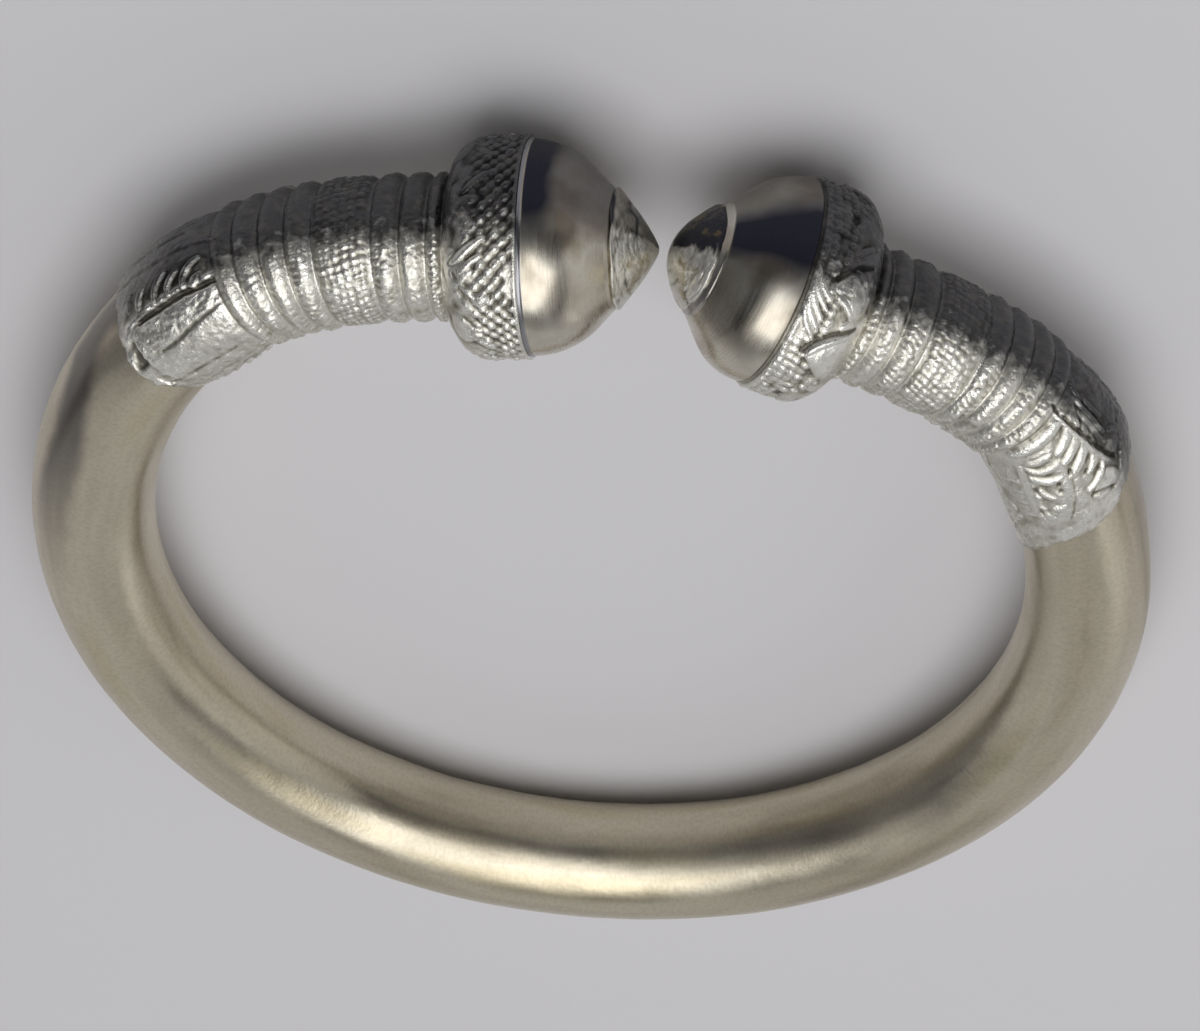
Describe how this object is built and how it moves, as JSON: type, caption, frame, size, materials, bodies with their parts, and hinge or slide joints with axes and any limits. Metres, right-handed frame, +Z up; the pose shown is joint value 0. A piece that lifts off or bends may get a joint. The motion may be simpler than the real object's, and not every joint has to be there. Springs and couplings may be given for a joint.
{
  "type": "anklet",
  "caption": "Penannular silver anklet: a plain round hoop whose ends wear chased collars of leaves, rings and beads, with domed knobs that nearly meet.",
  "frame": {"origin": "centre of the footprint, on the ground that the anklet lies on", "axes": "+Z up out of the ground, +Y from the back of the hoop towards the gap between the knobs, +X across the ring towards the right end"},
  "size_m": [0.117, 0.115, 0.0228],
  "materials": {
    "hoop_silver": "satin worn silver with a warm grey tarnish",
    "chased_silver": "bright chased silver with dark tarnish in its hollows",
    "polished_silver": "smooth rubbed silver with brown and blue-grey tarnish",
    "worn_silver": "rough scuffed silver with yellow-brown patches"
  },
  "bodies": {
    "root": {"hoop": "hoop_silver", "chased_collar_left": "chased_silver", "chased_collar_right": "chased_silver", "knob_dome_left": "polished_silver", "knob_dome_right": "polished_silver", "finial_cap_left": "worn_silver", "finial_cap_right": "worn_silver"}
  },
  "joints": []
}
